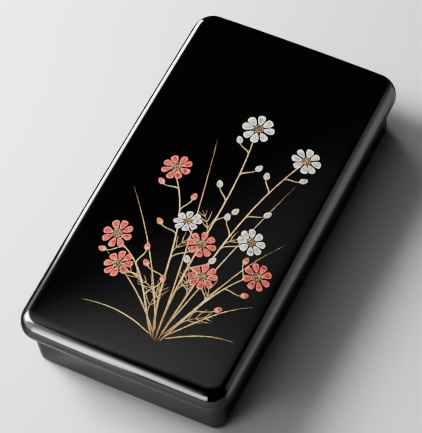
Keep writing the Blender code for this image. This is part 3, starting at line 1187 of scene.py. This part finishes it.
def painted_floor_glow(tree, where):
    """Glow painted on the paper that shows only in gloss: painted reflections and highlights.

    It lies to the right of the box's shadow, faintly along the front of the box and as a line
    before that, which paints the light line on the lid's lower edge. Both grow towards the front
    left.
    """
    x, y, _ = axes_of(tree, where)
    right = product(tree, rising(tree, x, *RIGHT_SHINE_X), rising(tree, y, *RIGHT_SHINE_Y))
    to_left = rising(tree, x, *SHINE_GROWTH)
    levels = []
    for band in SHINE_BANDS:
        level = scaled(tree, to_left, band.gain, band.least)
        levels.append(product(tree, rising(tree, y, *band.start), rising(tree, y, *band.stop), level))
    sides = product(tree, rising(tree, x, *SHINE_LEFT), rising(tree, x, *SHINE_RIGHT))
    return maths(tree, "ADD", right, product(tree, sides, maths(tree, "ADD", *levels)))


def studio_paper(tree):
    """Pale matt paper; in gloss it shows a painted reflection: tinted, darkened by painted shade and
    lit by a painted glow.
    """
    studio = settings().studio
    where = object_place(tree)
    pale = Vector(studio.floor_colour)
    paper = mixed(tree, noise(tree, where, 900.0), pale * 0.985, pale)
    # The floor's colour in gloss: a painted reflection, tinted and darkened by painted shade.
    painted_reflection_colour = Vector(studio.painted_floor_reflection) * studio.floor_colour[0]
    painted_shaded_reflection = mixed(tree, painted_gloss_shade(tree, where), (0.0, 0.0, 0.0), painted_reflection_colour)
    gloss = path_kind(tree, "Is Glossy Ray")
    return {
        "Base Color": mixed(tree, gloss, paper, painted_shaded_reflection),
        "Roughness": 0.9,
        "Specular IOR Level": 0.0,
        # A glow painted on the paper, seen only in gloss: painted highlights and reflections in the
        # lacquer.
        "Emission Color": (1.0, 0.96, 0.95, 1.0),
        "Emission Strength": product(tree, painted_floor_glow(tree, where), gloss, studio.painted_floor_glow),
    }


def add_floor():
    """The floor: one square round the origin."""
    half = settings().studio.floor_size / 2
    mesh = bpy.data.meshes.new("floor")
    corners = [(-half, -half, 0.0), (half, -half, 0.0), (half, half, 0.0), (-half, half, 0.0)]
    mesh.from_pydata(corners, [], [(0, 1, 2, 3)])
    mesh.materials.append(new_material("Studio Paper", studio_paper))
    new_object("floor", mesh)


def add_room():
    """A dark room round the studio, with its own brightness in gloss."""
    studio = settings().studio
    world = bpy.data.worlds.new("room")
    world.use_nodes = True
    tree = world.node_tree
    gloss = path_kind(tree, "Is Glossy Ray")
    strength = scaled(tree, gloss, studio.room_gloss - studio.room, studio.room)
    sockets = {"Color": (1.0, 1.0, 1.0, 1.0), "Strength": strength}
    connect(tree, tree.nodes["Background"], sockets)
    bpy.context.scene.world = world


def add_camera():
    """The camera: it looks at its aim from an azimuth, an elevation and a distance, and is rolled.

    Its axes are right and up turned by the roll, and back, which points from the aim to it.
    """
    studio = settings().studio
    back = facing(-studio.azimuth, studio.elevation)
    right = (-back).cross(Vector((0.0, 0.0, 1.0))).normalized()
    up = right.cross(-back)
    c, s = math.cos(studio.roll), math.sin(studio.roll)
    turn = Matrix((right * c + up * s, up * c - right * s, back)).transposed().to_4x4()
    data = bpy.data.cameras.new("camera")
    data.sensor_width = SENSOR_WIDTH
    data.lens = studio.focal
    data.clip_end = VIEW_END
    camera = new_object("camera", data)
    camera.matrix_world = Matrix.Translation(Vector(AIM) + back * studio.distance) @ turn
    bpy.context.scene.camera = camera


# Operators

def add_gold(name, surface, material_name):
    """A piece painted in gold powder."""
    add_piece(name, surface, new_material(material_name, gold_powder))


def add_petals(kind, heads, surface_of, material_word, rng):
    """The coral and the white piece of a kind of head, each in its own paint."""
    spray = settings().spray
    paints = (
        ("Coral", True, (spray.coral_deep, spray.coral, spray.coral_rim)),
        ("White", False, (spray.ivory_deep, spray.ivory, spray.ivory_rim)),
    )
    for name, coral, colours in paints:
        chosen = [head for head in heads if head.coral == coral]
        paint = new_material(f"{name} {material_word}", petal_paint, *colours)
        add_piece(f"{name.lower()}_{kind}", surface_of(chosen, rng), paint)


class WRITINGBOX_OT_lid(Operator):
    """Add the lacquered lid"""

    bl_idname = "writingbox.lid"
    bl_label = "Lid"

    def execute(self, context):
        sizes = settings().sizes
        section = lid_section(sizes)
        edge = sizes.lid_top - sizes.crown
        corner = sizes.rim_radius * ARC_INSET
        edges = [
            (0.0, sizes.lid_rim + sizes.rim_radius, LID_WEAR[0]),
            (sizes.lid_wall - corner, sizes.lid_rim + corner, LID_WEAR[1]),
            (0.0, edge - sizes.shoulder_drop, LID_WEAR[2]),
        ]
        thin = worn_thin(sizes, section, edges)
        top, ceiling = partial(dome_height, sizes), at_level(edge - sizes.lid_thickness)
        surface = swept_piece(sizes, section, thin, top, ceiling, TOP_RINGS, BORDER_RINGS)
        lacquer = new_material("Lid Lacquer", black_lacquer)
        add_piece("lid_shell", surface, lacquer, "lid")
        return {"FINISHED"}


class WRITINGBOX_OT_box(Operator):
    """Add the lacquered box under the lid"""

    bl_idname = "writingbox.box"
    bl_label = "Box"

    def execute(self, context):
        sizes = settings().sizes
        section = box_section(sizes)
        side = sizes.lid_wall + sizes.side_clearance
        corner = sizes.box_rim_radius * ARC_INSET
        foot = sizes.foot_radius * ARC_INSET
        edges = [
            (side + corner, sizes.box_top - corner, BOX_WEAR[0]),
            (side + sizes.box_wall - corner, sizes.box_top - corner, BOX_WEAR[1]),
            (box_side(sizes, sizes.foot_radius) + foot, foot, BOX_WEAR[2]),
        ]
        thin = worn_thin(sizes, section, edges)
        floor_top, underside = at_level(sizes.box_floor), at_level(0.0)
        surface = swept_piece(sizes, section, thin, floor_top, underside, FLOOR_RINGS)
        lacquer = new_material("Box Lacquer", black_lacquer)
        add_piece("box_shell", surface, lacquer, "box")
        return {"FINISHED"}


class WRITINGBOX_OT_stems(Operator):
    """Add the gold stems, feathery leaves and blades of grass"""

    bl_idname = "writingbox.stems"
    bl_label = "Stems, leaves and grass"

    def execute(self, context):
        rng = np.random.default_rng(settings().spray.seed + 1)
        add_gold("gold_stems", stem_surface(spray_heads()), "Stem Gold")
        add_gold("gold_leaves", leaf_surface(rng), "Leaf Gold")
        add_gold("gold_grass", blade_surface(rng), "Grass Gold")
        return {"FINISHED"}


class WRITINGBOX_OT_flowers(Operator):
    """Add the coral and white flowers with their gold hearts"""

    bl_idname = "writingbox.flowers"
    bl_label = "Flowers"

    def execute(self, context):
        rng = np.random.default_rng(settings().spray.seed + 2)
        flowers = [head for head in spray_heads() if head.flower]
        add_petals("flowers", flowers, flower_surface, "Paint", rng)
        brown = new_material("Heart Ground", matt_brown)
        add_piece("heart_grounds", ground_surface(flowers), brown)
        add_gold("flower_hearts", heart_surface(flowers, rng), "Heart Gold")
        return {"FINISHED"}


class WRITINGBOX_OT_buds(Operator):
    """Add the coral and white buds with their gold sepals"""

    bl_idname = "writingbox.buds"
    bl_label = "Buds"

    def execute(self, context):
        rng = np.random.default_rng(settings().spray.seed + 3)
        buds = [head for head in spray_heads() if not head.flower]
        add_petals("buds", buds, bud_surface, "Buds", rng)
        add_gold("gold_sepals", sepal_surface(buds), "Sepal Gold")
        return {"FINISHED"}


class WRITINGBOX_OT_stage(Operator):
    """Add the floor, the soft lights, the dark room and the camera"""

    bl_idname = "writingbox.stage"
    bl_label = "Stage"

    def execute(self, context):
        add_floor()
        add_room()
        add_lights()
        add_camera()
        return {"FINISHED"}


OPERATORS = (
    WRITINGBOX_OT_lid,
    WRITINGBOX_OT_box,
    WRITINGBOX_OT_stems,
    WRITINGBOX_OT_flowers,
    WRITINGBOX_OT_buds,
    WRITINGBOX_OT_stage,
)


class WRITINGBOX_PT_panel(Panel):
    """Lists the pieces of the writing box"""

    bl_label = "Writing Box"
    bl_idname = "WRITINGBOX_PT_panel"
    bl_space_type = "VIEW_3D"
    bl_region_type = "UI"
    bl_category = "Writing Box"

    def draw(self, context):
        for operator in OPERATORS:
            self.layout.operator(operator.bl_idname, text=operator.bl_label)


GROUPS = (WritingBoxSizes, LacquerFinish, SprayDesign, StudioSetup, WritingBoxSettings)


def register():
    """Registers the classes and attaches the settings to the scene."""
    for item in (*GROUPS, *OPERATORS, WRITINGBOX_PT_panel):
        bpy.utils.register_class(item)
    bpy.types.Scene.writing_box = PointerProperty(type=WritingBoxSettings)


def unregister():
    """Removes the settings and the classes."""
    del bpy.types.Scene.writing_box
    for item in (WRITINGBOX_PT_panel, *reversed(OPERATORS), *reversed(GROUPS)):
        bpy.utils.unregister_class(item)


def main():
    """Builds the pieces and the stage."""
    register()
    bpy.ops.writingbox.lid()
    bpy.ops.writingbox.box()
    bpy.ops.writingbox.stems()
    bpy.ops.writingbox.flowers()
    bpy.ops.writingbox.buds()
    bpy.ops.writingbox.stage()


if __name__ == "__main__":
    main()
